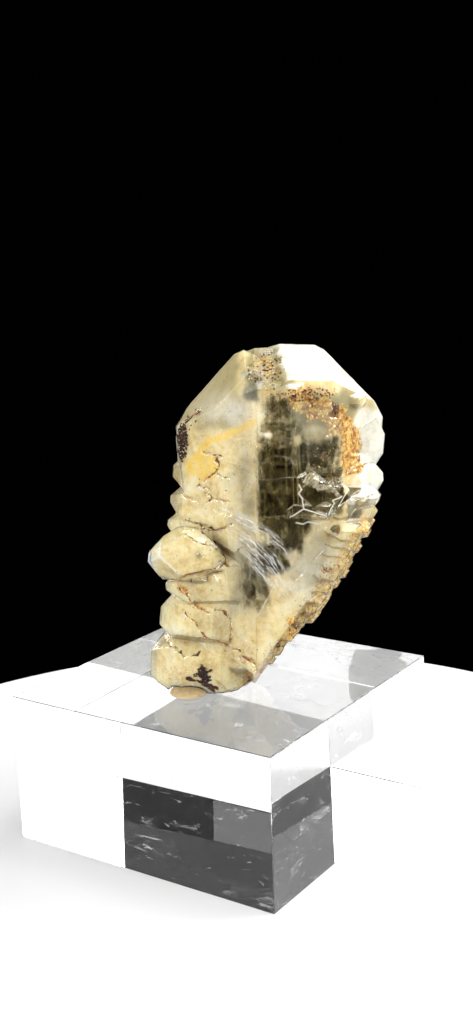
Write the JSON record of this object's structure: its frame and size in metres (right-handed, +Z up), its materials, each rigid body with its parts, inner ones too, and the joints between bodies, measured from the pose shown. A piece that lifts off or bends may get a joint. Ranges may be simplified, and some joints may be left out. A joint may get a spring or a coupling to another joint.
{
  "type": "gwindel quartz specimen",
  "caption": "Twisted gwindel quartz crystal, milky and iron-stained with a clear smoky window, standing on mineral tack on a clear square acrylic display block.",
  "frame": {"origin": "centre of the underside of the acrylic block", "axes": "+Z up; +X and +Y along the sides of the block; the crystal's front faces (sin 34.2, -cos 34.2)"},
  "size_m": [0.05, 0.05, 0.0809],
  "materials": {
    "quartz": "glossy crystal faces with fine growth lines, milky cream inside, clear smoky window, orange and brown iron stains",
    "tack": "matt tan putty, pressed by hand",
    "acrylic": "polished clear acrylic with light scratches and dust"
  },
  "bodies": {
    "root": {"gwindel_crystal": "quartz", "mineral_tack": "tack", "acrylic_block": "acrylic"}
  },
  "joints": []
}
